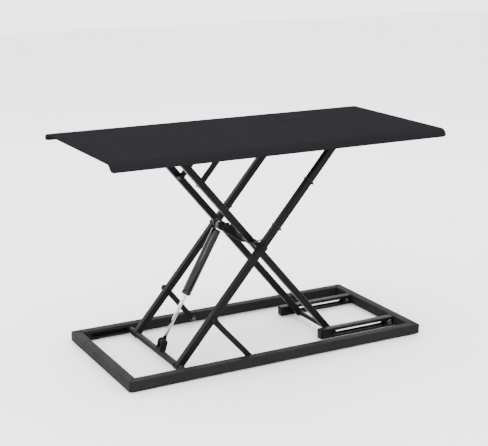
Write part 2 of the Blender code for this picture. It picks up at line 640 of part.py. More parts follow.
def end_fitting():
    """The bright eye on the cylinder's upper end, between the lever plates."""
    half = Vector((0, LEVER_GAP - 0.8 * MM, 0))
    eye = rod("gas_spring_eye", SPRING_HIGH - half, SPRING_HIGH + half, 5.6 * MM, ZINC)
    neck_start = CYLINDER_END + GAP
    neck = turned("eye_neck", [(0, 0), (0, 4.6 * MM), (4 * MM, 4.6 * MM), (8 * MM, 3.6 * MM), (8 * MM, 0)],
                  SPRING_LOW + SPRING_DIR * neck_start, SPRING_DIR)
    hole = rod("eye_bore", SPRING_HIGH - 2 * half, SPRING_HIGH + 2 * half, PIN_R + 0.1 * MM)
    joined(eye, neck)
    cut(eye, hole)


# --- Platform -------------------------------------------------------------------------------------------


def tray_section():
    """The sheet's middle line across its depth, front lip to rear lip, as (y, z) points below the top."""
    radius = ROLL_RADIUS - SHEET / 2
    tail = Vector((math.cos(ROLL_ANGLE), math.sin(ROLL_ANGLE))) * ROLL_TAIL
    reach = radius * math.sin(ROLL_ANGLE) + tail.x + SHEET / 2 * math.sin(ROLL_ANGLE)
    crease = PLATFORM_DEPTH / 2 - reach
    rear = []
    for i in range(ROLL_STEPS + 1):
        angle = ROLL_ANGLE * i / ROLL_STEPS
        rear.append((crease + radius * math.sin(angle), -radius * (1 - math.cos(angle))))
    last = rear[-1]
    rear.append((last[0] + tail.x, last[1] - tail.y))
    return [(-y, z) for y, z in reversed(rear)] + rear


def platform_tray():
    """A flat sheet rolled down at the front and rear edges and open at its ends."""
    section = tray_section()
    half = PLATFORM_LENGTH / 2
    middle = PLATFORM_TOP - SHEET / 2
    bm = bmesh.new()
    rows = []
    last = len(section) - 1
    for number, (y, z) in enumerate(section):
        inset = LIP_CORNER if number in (0, last) else 0
        inset = LIP_CORNER * 0.35 if number in (1, last - 1) else inset
        rows.append([bm.verts.new((x, y, middle + z)) for x in (-half + inset, half - inset)])
    for first, second in zip(rows, rows[1:]):
        bm.faces.new((first[0], second[0], second[1], first[1]))
    mesh = mesh_of(bm, "platform_tray")
    if mesh.polygons[len(mesh.polygons) // 2].normal.z < 0:
        mesh.flip_normals()
    tray = place(mesh, "platform_tray", (0, 0, 0), BLACK_STEEL)
    shell = tray.modifiers.new("sheet", "SOLIDIFY")
    shell.thickness = SHEET
    shell.offset = 0
    shell.use_even_offset = True
    return tray


def under_frame():
    """Rails welded under the sheet: the mirror image of what guides the lower ends of the arms."""
    top = PLATFORM_TOP - SHEET - GAP
    low = top - UPPER_RAIL_TALL
    x_right = 291 * MM
    wide = 12 * MM
    for end, sign in sides():
        y_low, y_high = span(sign, INNER_WALL_Y, INNER_WALL_Y + wide)
        rail = block(f"under_rail_{end}", (-292 * MM, y_low, low), (x_right, y_high, top), BLACK_STEEL)
        bevelled(rail, 1.5 * MM)
        core = block(f"under_rail_{end}_core", (-300 * MM, y_low + WALL, low + WALL),
                     (x_right + 9 * MM, y_high - WALL, top - WALL))
        slot_low, slot_high = span(sign, INNER_WALL_Y - 3 * MM, INNER_WALL_Y + 4 * MM)
        slot = slot_cutter(f"upper_slide_slot_{end}", *UPPER_SLIDE_SLOT, slot_low, slot_high, TOP_PIVOT_Z)
        cut(rail, core, slot)
        slotted_rail(f"upper_slotted_rail_{end}", sign, low, top, TOP_PIVOT_Z, x_right, UPPER_RAIL_SLOT)
        upper_anchor(f"upper_link_anchor_{end}", sign, top)
    cross = INNER_WALL_Y + wide
    bar = block("under_cross_rail", (x_right + GAP, -cross, low), (x_right + wide, cross, top), BLACK_STEEL)
    bevelled(bar, 1.5 * MM)


def upper_anchor(name, sign, top):
    """A lug under the sheet, outside the upper link, with a headed pin through the link."""
    link_in = UPPER_LINK_Y - UPPER_LINK_SIZE[1] / 2 - GAP
    link_out = UPPER_LINK_Y + UPPER_LINK_SIZE[1] / 2 + GAP
    lug_in, lug_out = link_out + MM, link_out + 4 * MM
    half = 10 * MM
    low, high = span(sign, lug_in, lug_out)
    lug = block(name, (ANCHOR_X - half, low, TOP_PIVOT_Z - 8 * MM),
                (ANCHOR_X + half, high, top - 3 * MM), BLACK_STEEL)
    flange_low, flange_high = span(sign, lug_in, lug_out + 12 * MM)
    flange = block(name + "_flange", (ANCHOR_X - half, flange_low, top - 3.4 * MM),
                   (ANCHOR_X + half, flange_high, top - 0.4 * MM))
    head = 2 * MM
    link = head + link_out - link_in
    profile = [(0, 0), (0, 4.6 * MM), (head, 5 * MM), (head, BOLT_R), (link, BOLT_R), (link, 4.6 * MM),
               (link + 2 * MM, 4.6 * MM), (link + 2 * MM, 0)]
    pin = turned(name + "_pin", profile, (ANCHOR_X, sign * (link_in - head), TOP_PIVOT_Z), (0, sign, 0))
    joined(lug, flange, pin)


def release_lever():
    """The squeeze lever under the right edge of the sheet, on a pin between the ears of its bracket."""
    top = PLATFORM_TOP - SHEET - GAP
    x, y, z = LEVER_PIVOT
    bracket = block("lever_bracket", (x - 7 * MM, y - 15 * MM, top - 2 * MM),
                    (x + 12 * MM, y + 15 * MM, top), BLACK_STEEL)
    for number, side in enumerate((-1, 1)):
        low, high = span(side, 12 * MM, 14 * MM)
        ear = block(f"bracket_ear_{number}", (x - 5 * MM, y + low, z - 5 * MM),
                    (x + 5 * MM, y + high, top - MM))
        joined(bracket, ear)
    joined(bracket, rod("bracket_pin", (x, y - 15 * MM, z), (x, y + 15 * MM, z), 2.2 * MM, None, 16))
    lever = block("release_lever", (x + 8 * MM, y - 32 * MM, z - 2.5 * MM),
                  (x + 28 * MM, y + 32 * MM, z + 1.0 * MM), BLACK_STEEL)
    bevelled(lever, 1.2 * MM)
    neck = block("lever_neck", (x, y - 10 * MM, z - 2 * MM), (x + 12 * MM, y + 10 * MM, z + 0.8 * MM))
    hub = rod("lever_hub", (x, y - 11 * MM, z), (x, y + 11 * MM, z), 4.2 * MM)
    bore = rod("lever_hub_bore", (x, y - 16 * MM, z), (x, y + 16 * MM, z), 2.4 * MM, None, 16)
    joined(lever, neck, hub)
    cut(lever, bore)


# --- Release cable --------------------------------------------------------------------------------------


def cable(name, points):
    """A thin cable through its route's points, eased into one smooth line."""
    smooth = []
    route = [Vector(point) for point in points]
    padded = [route[0] * 2 - route[1], *route, route[-1] * 2 - route[-2]]
    for before, start, end, after in zip(padded, padded[1:], padded[2:], padded[3:]):
        for step in range(4):
            t = step / 4
            slope = end - before
            bend = 2 * before - 5 * start + 4 * end - after
            twist = 3 * start - before - 3 * end + after
            smooth.append(0.5 * (2 * start + slope * t + bend * t ** 2 + twist * t ** 3))
    smooth.append(route[-1])
    curve = bpy.data.curves.new(name, "CURVE")
    curve.dimensions = "3D"
    line = curve.splines.new("POLY")
    line.points.add(len(smooth) - 1)
    for point, where in zip(line.points, smooth):
        point.co = (*where, 1)
    curve.bevel_depth = CABLE_R
    curve.bevel_resolution = 2
    curve.use_fill_caps = True
    made = bpy.data.objects.new(name, curve)
    PARTS.objects.link(made)
    curve.materials.append(finish_of(name, NYLON))
    return made


def release_cable():
    """The cable that unlocks the gas spring: up the front outer arm, and from the lever."""
    y = -(OUTER_Y - ARM_SIZE / 2 - CABLE_R - GAP)
    steps = 8
    first, last = 16 * MM, UPPER_HALF - 12 * MM
    route = []
    for i in range(steps + 1):
        reach = first + (last - first) * i / steps
        route.append(along_arm(reach, 1, y + 0.5 * MM * math.sin(math.pi * i / steps) ** 2))
    cable("release_cable_arm", route)
    x, y, z = LEVER_PIVOT
    low = z - 9 * MM
    cable("release_cable_lever", [(x - 4 * MM, y, z - 6 * MM), (x - 14 * MM, y - 2 * MM, low),
                                  (x - 30 * MM, y - 8 * MM, low + 0.5 * MM),
                                  (x - 52 * MM, y - 12 * MM, low + 6 * MM),
                                  (x - 90 * MM, y - 13 * MM, low + 9 * MM)])


base_frame()
base_fittings()
outer_frame()
inner_frame()
links()
gas_spring()
platform_tray()
under_frame()
release_lever()
release_cable()
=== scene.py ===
"""The look of the standing desk converter: a black scissor riser on a pale floor, in soft studio light.

Metres, +Z up, +X to the user's right, +Y away from the user. Places come from the frame's own boxes.
Profiles of turned pieces are lists of (along the axis, radius).
"""

import json
import math

import bmesh
import bpy
from mathutils import Matrix, Vector


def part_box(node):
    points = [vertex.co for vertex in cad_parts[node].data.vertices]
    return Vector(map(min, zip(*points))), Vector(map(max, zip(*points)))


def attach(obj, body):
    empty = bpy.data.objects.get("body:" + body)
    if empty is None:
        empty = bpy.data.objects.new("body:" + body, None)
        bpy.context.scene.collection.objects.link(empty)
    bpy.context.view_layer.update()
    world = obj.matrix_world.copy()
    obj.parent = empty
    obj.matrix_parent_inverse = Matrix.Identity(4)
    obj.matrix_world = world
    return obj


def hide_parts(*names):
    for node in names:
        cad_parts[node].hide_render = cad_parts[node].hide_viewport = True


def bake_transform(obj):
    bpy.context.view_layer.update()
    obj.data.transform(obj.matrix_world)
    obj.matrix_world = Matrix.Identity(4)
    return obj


MM = 0.001

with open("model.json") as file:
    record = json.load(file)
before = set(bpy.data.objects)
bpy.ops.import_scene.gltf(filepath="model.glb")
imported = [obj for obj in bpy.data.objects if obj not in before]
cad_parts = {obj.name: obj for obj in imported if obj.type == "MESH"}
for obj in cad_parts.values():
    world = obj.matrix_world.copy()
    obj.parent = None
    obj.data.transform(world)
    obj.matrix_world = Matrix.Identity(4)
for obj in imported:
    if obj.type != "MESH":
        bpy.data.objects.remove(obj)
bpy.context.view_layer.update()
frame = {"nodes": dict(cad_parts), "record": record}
NODES = frame["nodes"]


# --- Places taken from the frame ------------------------------------------------------------------------


def middle(node):
    low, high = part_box(node)
    return (low + high) / 2


def sides():
    """The front and rear copies of a piece: the name's ending and the sign of Y."""
    return (("front", -1), ("rear", 1))


PIVOT = middle("pivot_rod")
LOWER_SHAFT = middle("lower_slide_shaft")
UPPER_SHAFT = middle("upper_slide_shaft")
LOWER_BAR = middle("lower_roller_bar")
UPPER_BAR = middle("upper_roller_bar")
UP_OUTER = (PIVOT - LOWER_SHAFT).normalized()  # up along an outer arm
ARM = 13 * MM  # the arms' square section
OUTER_Y = abs(middle("outer_arm_front").y)
INNER_Y = abs(middle("inner_arm_front").y)
OUTER_FACE = OUTER_Y + ARM / 2


# --- Camera, light and floor ----------------------------------------------------------------------------

CAMERA_AT = Vector((-1.008, -1.825, 0.796))
CAMERA_YAW = math.radians(28.25)
CAMERA_PITCH = math.radians(15.23)
CAMERA_LENS = 83.6
CAMERA_SHIFT = (0.0197, 0.0037)


def add_camera():
    data = bpy.data.cameras.new("camera")
    data.lens = CAMERA_LENS
    data.shift_x, data.shift_y = CAMERA_SHIFT
    camera = bpy.data.objects.new("camera", data)
    camera.location = CAMERA_AT
    camera.rotation_euler = (math.pi / 2 - CAMERA_PITCH, 0, -CAMERA_YAW)
    bpy.context.scene.collection.objects.link(camera)
    bpy.context.scene.camera = camera


def area_light(name, at, aim, size, power):
    data = bpy.data.lights.new(name, "AREA")
    data.shape = "RECTANGLE"
    data.size, data.size_y = size
    data.energy = power
    light = bpy.data.objects.new(name, data)
    light.location = at
    light.rotation_euler = (Vector(aim) - Vector(at)).to_track_quat("-Z", "Y").to_euler()
    bpy.context.scene.collection.objects.link(light)


def add_lights():
    centre = (0, 0, 0.25)
    gas_spring = (-0.13, -0.016, 0.15)
    area_light("key_overhead", (-0.4, 0.2, 2.4), centre, (2.4, 1.8), 40)
    area_light("front_left_fill", (-2.4, -1.8, 1.2), centre, (1.8, 1.6), 45)
    area_light("right_rim", (2.3, 0.4, 1.1), centre, (1.2, 1.6), 14)
    area_light("rear_glow", (0.4, 2.4, 1.3), centre, (2.2, 1.2), 12)
    area_light("left_strip", (-1.74, -1.28, 0.90), gas_spring, (0.10, 1.2), 12)


def add_world():
    world = bpy.data.worlds.new("studio")
    world.use_nodes = True
    background = world.node_tree.nodes["Background"]
    background.inputs["Color"].default_value = (1.0, 1.0, 1.0, 1)
    background.inputs["Strength"].default_value = 3.4
    bpy.context.scene.world = world


def add_floor():
    bm = bmesh.new()
    bmesh.ops.create_grid(bm, x_segments=1, y_segments=1, size=6)
    mesh = bpy.data.meshes.new("floor")
    bm.to_mesh(mesh)
    bm.free()
    floor = bpy.data.objects.new("floor", mesh)
    floor.location.z = -0.4 * MM  # just clear of the feet
    bpy.context.scene.collection.objects.link(floor)
    look = Shader("pale_floor", (0.86, 0.86, 0.87), 0.6, 0.0)
    look.mottle((0.85, 0.85, 0.86), (0.87, 0.87, 0.88), 3)
    mesh.materials.append(look.material)


# --- Materials ------------------------------------------------------------------------------------------


class Shader:
    """One procedural material built around a Principled BSDF, in object space metres."""

    def __init__(self, name, colour, roughness, metallic):
        self.material = bpy.data.materials.new(name)
        self.material.use_nodes = True
        self.tree = self.material.node_tree
        self.shader = self.tree.nodes["Principled BSDF"]
        self.shader.inputs["Base Color"].default_value = (*colour, 1)
        self.shader.inputs["Roughness"].default_value = roughness
        self.shader.inputs["Metallic"].default_value = metallic
        self.place = self.tree.nodes.new("ShaderNodeTexCoord").outputs["Object"]
        self.height = None

    def node(self, kind, **values):
        made = self.tree.nodes.new(kind)
        for name, value in values.items():
            setattr(made, name, value)
        return made

    def link(self, source, target):
        self.tree.links.new(source, target)

    def noise(self, scale, detail):
        made = self.node("ShaderNodeTexNoise")
        made.inputs["Scale"].default_value = scale
        made.inputs["Detail"].default_value = detail
        self.link(self.place, made.inputs["Vector"])
        return made.outputs["Fac"]

    def ramp(self, source, low, high, start=0.3, end=0.7):
        """Maps a 0 to 1 value between two numbers."""
        made = self.node("ShaderNodeMapRange", clamp=True)
        made.inputs["From Min"].default_value = start
        made.inputs["From Max"].default_value = end
        made.inputs["To Min"].default_value = low
        made.inputs["To Max"].default_value = high
        self.link(source, made.inputs["Value"])
        return made.outputs["Result"]

    def mix(self, factor, first, second):
        """Mixes two colours."""
        made = self.node("ShaderNodeMix", data_type="RGBA")
        self.link(factor, made.inputs["Factor"])
        for socket, colour in (("A", first), ("B", second)):
            target = [i for i in made.inputs if i.name == socket and i.type == "RGBA"][0]
            target.default_value = (*colour, 1)
        return [o for o in made.outputs if o.type == "RGBA"][0]

    def mottle(self, dark, light, scale):
        """Slow colour variation over the surface."""
        fade = self.ramp(self.noise(scale, 3), 0, 1, 0.35, 0.65)
        self.link(self.mix(fade, dark, light), self.shader.inputs["Base Color"])

    def gloss(self, low, high, scale):
        """Slow roughness variation over the surface."""
        self.link(self.ramp(self.noise(scale, 2), low, high), self.shader.inputs["Roughness"])

    def bump(self, source, strength, distance):
        """Adds a bump on top of the ones already there."""
        made = self.node("ShaderNodeBump")
        made.inputs["Strength"].default_value = strength
        made.inputs["Distance"].default_value = distance
        self.link(source, made.inputs["Height"])
        if self.height is not None:
            self.link(self.height, made.inputs["Normal"])
        self.height = made.outputs["Normal"]
        self.link(self.height, self.shader.inputs["Normal"])


def scaled(colour, factor):
    return tuple(part * factor for part in colour)


def powder_coat(name, colour, spread, roughness, grain, depth, sheen):
    """Powder coat: a fine pebbled skin of the given grain, with slow changes of depth and gloss."""
    look = Shader(name, colour, roughness, 0.0)
    look.shader.inputs["Specular IOR Level"].default_value = sheen
    look.mottle(scaled(colour, 1 - spread), scaled(colour, 1 + spread), 14)
    look.gloss(roughness - 0.05, roughness + 0.06, 60)
    look.bump(look.noise(grain, 2), 0.5, depth)
    look.bump(look.noise(grain / 5, 1), 0.15, depth * 2)
    return look.material


def polished(name, colour, roughness, streak):
    """Bright metal with faint turning marks."""
    look = Shader(name, colour, roughness, 1.0)
    look.gloss(roughness, roughness + 0.08, 90)
    look.bump(look.noise(streak, 3), 0.06, 0.1 * MM)
    return look.material


def moulded(name, colour, roughness):
    """Moulded plastic or rubber with a faint grain."""
    look = Shader(name, colour, roughness, 0.0)
    look.shader.inputs["Specular IOR Level"].default_value = 0.12
    look.mottle(scaled(colour, 0.85), scaled(colour, 1.2), 40)
    look.gloss(roughness - 0.06, roughness + 0.08, 120)
    look.bump(look.noise(1500, 2), 0.25, 0.06 * MM)
    return look.material


TRAY_BLACK = (0.0084, 0.0082, 0.0098)
BASE_BLACK = (0.0108, 0.0106, 0.0116)
ARM_BLACK = (0.0040, 0.0039, 0.0044)
ENAMEL_BLACK = (0.002, 0.002, 0.0022)
LOOKS = {
    "tray_coating": powder_coat("tray_powder_coat", TRAY_BLACK, 0.03, 0.66, 2200, 0.04 * MM, 0.0005),
    "base_coating": powder_coat("base_powder_coat", BASE_BLACK, 0.08, 0.50, 1500, 0.07 * MM, 0.02),
    "black_steel": powder_coat("arm_powder_coat", ARM_BLACK, 0.10, 0.42, 1500, 0.08 * MM, 0.06),
    "cylinder_paint": powder_coat("cylinder_enamel", ENAMEL_BLACK, 0.08, 0.14, 500, 0.005 * MM, 0.22),
    "chrome_rod": polished("chrome_rod", (0.42, 0.42, 0.44), 0.08, 900),
    "zinc_plate": polished("zinc_plate", (0.060, 0.060, 0.063), 0.36, 1200),
    "nylon": moulded("black_nylon", (0.004, 0.004, 0.0045), 0.42),
    "rubber": moulded("foot_rubber", (0.003, 0.003, 0.003), 0.80),
}


def dress_cad():
    """Gives every CAD node its slot's material, and shading that keeps its flat faces flat."""
    slots = {entry["node"]: entry["material_slot"] for entry in frame["record"]["subparts"]}
    for name, node in NODES.items():
        mesh = node.data
        mesh.materials.clear()
        mesh.materials.append(LOOKS[slots[name]])
        mesh.shade_smooth()
        node.modifiers.new("weld", "WELD").merge_threshold = 0.01 * MM
        crisp(node)


def crisp(piece):
    """Splits the sharp edges and weighs the normals by face: flats stay flat beside small bevels."""
    split = piece.modifiers.new("split", "EDGE_SPLIT")
    split.split_angle = math.radians(40)
    weigh = piece.modifiers.new("weigh", "WEIGHTED_NORMAL")
    weigh.keep_sharp = True


# --- Ways of making a piece -----------------------------------------------------------------------------


def add_piece(name, data, slot, body, *replaced):
    """Adds a mesh or curve as a piece: its material slot, its body and the CAD nodes that it replaces."""
    data.materials.append(LOOKS[slot])
    made = bpy.data.objects.new(name, data)
    bpy.context.scene.collection.objects.link(made)
    if body:
        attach(made, body)
    if replaced:
        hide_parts(*replaced)
    return made


def mesh_of(bm, name):
    """The smooth mesh of bm, with its faces turned outward."""
    bmesh.ops.recalc_face_normals(bm, faces=bm.faces)
    mesh = bpy.data.meshes.new(name)
    bm.to_mesh(mesh)
    bm.free()
    mesh.shade_smooth()
    return mesh


def round_angles(count):
    return [2 * math.pi * i / count for i in range(count)]


def ring(bm, at, axis, along, radius, count):
    """Adds the points of a circle round an axis to bm, moved along it from at."""
    turn = Vector((0, 0, 1)).rotation_difference(Vector(axis)).to_matrix()
    points = []
    for angle in round_angles(count):
        points.append(turn @ Vector((radius * math.cos(angle), radius * math.sin(angle), along)))
    return [bm.verts.new(at + point) for point in points]


def band(bm, first, second):
    """Adds the faces between two rings to bm. Either may be a single point."""
    count = max(len(first), len(second))
    for i in range(count):
        j = (i + 1) % count
        corners = [first[i % len(first)], first[j % len(first)]]
        corners += [second[j % len(second)], second[i % len(second)]]
        bm.faces.new(list(dict.fromkeys(corners)))


def lathe(bm, at, axis, profile, count=32):
    """Adds a closed turned shape to bm. Its profile runs from one pole on the axis to the other."""
    rows = [ring(bm, at, axis, along, radius, count if radius else 1) for along, radius in profile]
    for first, second in zip(rows, rows[1:]):
        band(bm, first, second)


def sleeve(bm, at, axis, profile, count=32):
    """Adds a turned ring to bm. Its profile is a closed outline clear of the axis."""
    rows = [ring(bm, at, axis, along, radius, count) for along, radius in profile]
    for first, second in zip(rows, rows[1:] + rows[:1]):
        band(bm, first, second)


def hexagon(bm, at, axis, start, length, across):
    """Adds a hexagonal nut to bm, tapered at both ends."""
    corner = across / math.sqrt(3)
    taper = 0.12 * across
    rows = []
    for along, scale in ((0, 0.92), (taper, 1), (length - taper, 1), (length, 0.90)):
        rows.append(ring(bm, at, axis, start + along, corner * scale, 6))
    for first, second in zip(rows, rows[1:]):
        band(bm, first, second)
    bm.faces.new(rows[0])
    bm.faces.new(rows[-1])


def tube(name, points, radius, slot, body, closed, swell):
    """A bead or cable along a smooth line near the points. swell scales its radius at each point."""
    curve = bpy.data.curves.new(name, "CURVE")
    curve.dimensions = "3D"
    line = curve.splines.new("NURBS")
    line.points.add(len(points) - 1)
    for point, where, scale in zip(line.points, points, swell):
        point.co = (*where, 1)
        point.radius = scale
    line.order_u = 3
    line.use_cyclic_u = closed
    line.use_endpoint_u = not closed
    curve.resolution_u = 4
    curve.bevel_depth = radius
    curve.bevel_resolution = 3
    curve.use_fill_caps = True
    return add_piece(name, curve, slot, body)


# --- Work surface ---------------------------------------------------------------------------------------

SHEET = 2 * MM
ROLL_ANGLE = math.radians(75)
ROLL_TAIL = 2.5 * MM
LIP_CORNER = 7 * MM
ROLL_RADIUS = 15 * MM  # to the middle of the sheet
ROLL_STEPS = 22


def tray_section(depth):
    """The sheet's middle line, front lip to rear lip: (distance from the nearer lip's edge, y, z)."""
    tail = Vector((math.cos(ROLL_ANGLE), -math.sin(ROLL_ANGLE))) * ROLL_TAIL
    crease = depth / 2 - (ROLL_RADIUS + SHEET / 2) * math.sin(ROLL_ANGLE) - tail.x
    rear = []
    for i in range(ROLL_STEPS + 1):
        angle = ROLL_ANGLE * i / ROLL_STEPS
        from_lip = ROLL_TAIL + ROLL_RADIUS * (ROLL_ANGLE - angle)
        y = crease + ROLL_RADIUS * math.sin(angle)
        rear.append((from_lip, y, -ROLL_RADIUS * (1 - math.cos(angle))))
    _, roll_y, roll_z = rear[-1]
    for share in (0.5, 1.0):
        rear.append((ROLL_TAIL * (1 - share), roll_y + tail.x * share, roll_z + tail.y * share))
    front = [(from_lip, -y, z) for from_lip, y, z in reversed(rear)]
    return front + rear


def work_surface():
    """The rolled sheet, with a fine roll, rounded lip corners and a softly rounded cut edge."""
    low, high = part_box("platform_tray")
    middle_z = high.z - SHEET / 2
    bm = bmesh.new()
    rows = []
    for from_lip, y, z in tray_section(high.y - low.y):
        short = max(LIP_CORNER - from_lip, 0)
        inset = LIP_CORNER - math.sqrt(LIP_CORNER ** 2 - short ** 2)
        reach = high.x - inset
        rows.append([bm.verts.new((x, y, middle_z + z)) for x in (-reach, 0, reach)])
    for first, second in zip(rows, rows[1:]):
        for i in range(2):
            bm.faces.new((first[i], first[i + 1], second[i + 1], second[i]))
    mesh = mesh_of(bm, "work_surface")
    if mesh.polygons[len(mesh.polygons) // 2].normal.z < 0:
        mesh.flip_normals()
    piece = add_piece("work_surface", mesh, "tray_coating", "platform", "platform_tray")
    shell = piece.modifiers.new("sheet", "SOLIDIFY")
    shell.thickness = SHEET
    shell.offset = 0
    shell.use_even_offset = True
    rim = piece.modifiers.new("rim", "BEVEL")
    rim.width = 0.55 * MM
    rim.segments = 2
    rim.limit_method = "ANGLE"
    rim.angle_limit = math.radians(60)
    piece.modifiers.new("weigh", "WEIGHTED_NORMAL").keep_sharp = True


# --- Welds ----------------------------------------------------------------------------------------------


def ripple(count):
    """Radius factors along a weld bead: slow and quick waves."""
    return [1 + 0.16 * math.sin(2.1 * i) + 0.10 * math.sin(5.3 * i + 1) for i in range(count)]


def arc_point(at, radius, angle):
    """A point on a circle round at, in the plane across Y."""
    return at + Vector((radius * math.cos(angle), 0, radius * math.sin(angle)))


def weld_ring(name, at, bar_radius, body):
    """A bead round a bar that lies along Y."""
    points = [arc_point(at, bar_radius + 0.2 * MM, angle) for angle in round_angles(40)]
    tube(name, points, 1.1 * MM, "black_steel", body, True, ripple(len(points)))


def weld_line(name, corners, body, bead):
    """A rippled bead along straight runs between corners."""
    pitch = 2.2 * MM
    points = []
    for start, end in zip(corners, corners[1:]):
        start, end = Vector(start), Vector(end)
        steps = max(2, round((end - start).length / pitch))
        points += [start.lerp(end, i / steps) for i in range(steps)]
    points.append(Vector(corners[-1]))
    tube(name, points, bead, "black_steel", body, False, ripple(len(points)))


def bar_radius(node):
    low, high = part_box(node)
    return (high.z - low.z) / 2


def arm_welds():
    """The beads that hold each arm to its shaft, on both faces, and to its roller bar, on the free face."""
    shaft_r = bar_radius("lower_slide_shaft")
    bar_r = bar_radius("upper_roller_bar")
    half = ARM / 2
    frames = (
        ("outer", OUTER_Y, half, LOWER_SHAFT, UPPER_BAR),
        ("inner", INNER_Y, -half, UPPER_SHAFT, LOWER_BAR),
    )
    for end, sign in sides():
        for arm, arm_y, free_face, shaft, bar in frames:
            body = f"{arm}_frame"
            for place, face in (("near", -half), ("far", half)):
                at = Vector((shaft.x, sign * (arm_y + face), shaft.z))
                weld_ring(f"weld_{arm}_shaft_{end}_{place}", at, shaft_r, body)
            at = Vector((bar.x, sign * (arm_y + free_face), bar.z))
            weld_ring(f"weld_{arm}_bar_{end}", at, bar_r, body)


def rail_welds():
    """The beads round the end of each slotted rail, where it meets the rail across it."""
    for prefix, body, across in (("", "base", "base_rail_right"), ("upper_", "platform", "under_cross_rail")):
        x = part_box(across)[0].x - 0.6 * MM
        for end, _ in sides():
            low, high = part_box(f"{prefix}slotted_rail_{end}")
            start_z, far_z = (low.z + MM, high.z) if body == "base" else (high.z - MM, low.z)
            corners = [(x, low.y, start_z), (x, low.y, far_z), (x, high.y, far_z), (x, high.y, start_z)]
            weld_line(f"weld_{prefix}rail_{end}", corners, body, 1.2 * MM)


def mitre_welds():
    """A thin upright bead in each inside corner of the base."""
    low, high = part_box("base_rail_front")
    wide = high.y - low.y
    corner_x = high.x - wide
    corner_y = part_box("base_rail_rear")[1].y - wide
    for end, x_sign in (("left", -1), ("right", 1)):
        for place, y_sign in sides():
            x, y = x_sign * corner_x, y_sign * corner_y
            corners = [(x, y, low.z + MM), (x, y, high.z - 0.8 * MM)]
            weld_line(f"weld_mitre_{place}_{end}", corners, "base", 1.0 * MM)


def clevis_welds():
    """The beads between the clevis lugs and the lower shaft."""
    low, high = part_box("spring_clevis")
    steps = 12
    angles = [math.radians(28 + 92 * i / steps) for i in range(steps + 1)]
    for name, y in (("near", low.y), ("far", high.y)):
        at = Vector((LOWER_SHAFT.x, y, LOWER_SHAFT.z))
        points = [arc_point(at, 6.8 * MM, angle) for angle in angles]
        swell = ripple(len(points))
        tube(f"weld_clevis_{name}", points, 1.0 * MM, "black_steel", "outer_frame", False, swell)


# --- Fasteners ------------------------------------------------------------------------------------------


def pivot_fasteners():
    """The pivot rod with a washer and a hexagonal lock nut outside each outer arm."""
    bm = bmesh.new()
    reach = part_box("pivot_rod")[1].y
    lathe(bm, PIVOT, (0, 1, 0), [
        (-reach, 0), (-reach, 3.2 * MM), (-reach + 0.6 * MM, 3.9 * MM),
        (reach - 0.6 * MM, 3.9 * MM), (reach, 3.2 * MM), (reach, 0)])
    washer, nut = OUTER_FACE + 0.2 * MM, OUTER_FACE + 1.5 * MM
    for _, sign in sides():
        axis = (0, sign, 0)
        sleeve(bm, PIVOT, axis, [
            (washer, 4.1 * MM), (washer, 7.6 * MM), (nut - 0.2 * MM, 7.6 * MM),
            (nut, 7.3 * MM), (nut, 4.1 * MM)])
        hexagon(bm, PIVOT, axis, nut, 3.6 * MM, 11.5 * MM)
    mesh = mesh_of(bm, "pivot_nuts_and_rod")
    add_piece("pivot_nuts_and_rod", mesh, "black_steel", "inner_frame", "pivot_rod")


def stop_screws():
    """Button head screws with round sockets through the base's slotted rails."""
    for end, sign in sides():
        name = f"stop_screw_{end}"
        node = f"stop_bolt_{end}"
        low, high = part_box(node)
        at = middle(node)
        at.y = high.y if sign > 0 else low.y
        head_r = (high.x - low.x) / 2
        length = high.y - low.y
        bm = bmesh.new()
        lathe(bm, at, (0, -sign, 0), [
            (1.4 * MM, 0), (1.4 * MM, 1.6 * MM), (0.1 * MM, 1.9 * MM), (0, 2.1 * MM), (0.15 * MM, 3.2 * MM),
            (0.7 * MM, 4.4 * MM), (1.6 * MM, head_r), (2.6 * MM, head_r),
            (2.6 * MM, 3 * MM), (length, 3 * MM), (length, 0)])
        add_piece(name, mesh_of(bm, name), "zinc_plate", "base", node)


def rail_end_screws():
    """A button head on the outer face of each lower slotted rail, near its free end."""
    for end, sign in sides():
        name = f"rail_end_screw_{end}"
        low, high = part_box(f"slotted_rail_{end}")
        outside = max(abs(low.y), abs(high.y))
        at = Vector((low.x + 8.5 * MM, sign * outside, middle(f"stop_bolt_{end}").z))
        bm = bmesh.new()
        lathe(bm, at, (0, sign, 0), [
            (0.1 * MM, 0), (0.1 * MM, 4.8 * MM), (0.9 * MM, 4.7 * MM), (1.8 * MM, 3.6 * MM),
            (2.2 * MM, 2.2 * MM), (1.2 * MM, 1.7 * MM), (1.2 * MM, 0)])
        add_piece(name, mesh_of(bm, name), "black_steel", "base")


def link_nuts():
    """A washer and a hexagonal nut on each lower link's bolt, outside the link."""
    washer, washer_out = OUTER_FACE + 0.3 * MM, OUTER_FACE + 1.4 * MM
    for end, sign in sides():
        name = f"link_nut_{end}"
        node = f"lower_link_bolt_{end}"
        low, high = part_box(node)
        near, far = sorted((abs(low.y), abs(high.y)))
        at = middle(node)
        at.y = 0
        axis = (0, sign, 0)
        bm = bmesh.new()
        lathe(bm, at, axis, [
            (near, 0), (near, 2.9 * MM), (far - 0.5 * MM, 2.9 * MM), (far, 2.4 * MM), (far, 0)])
        sleeve(bm, at, axis, [
            (washer, 3 * MM), (washer, 7.4 * MM), (washer_out, 7.4 * MM), (washer_out, 3 * MM)])
        hexagon(bm, at, axis, far - 4.6 * MM, 4.4 * MM, 12.4 * MM)
        add_piece(name, mesh_of(bm, name), "black_steel", "outer_frame", node)


# --- Gas spring -----------------------------------------------------------------------------------------

EYE_R = 5 * MM
SPRING_ROD_R = 3.4 * MM
PIN_R = 3 * MM
LUG = 3 * MM  # thickness


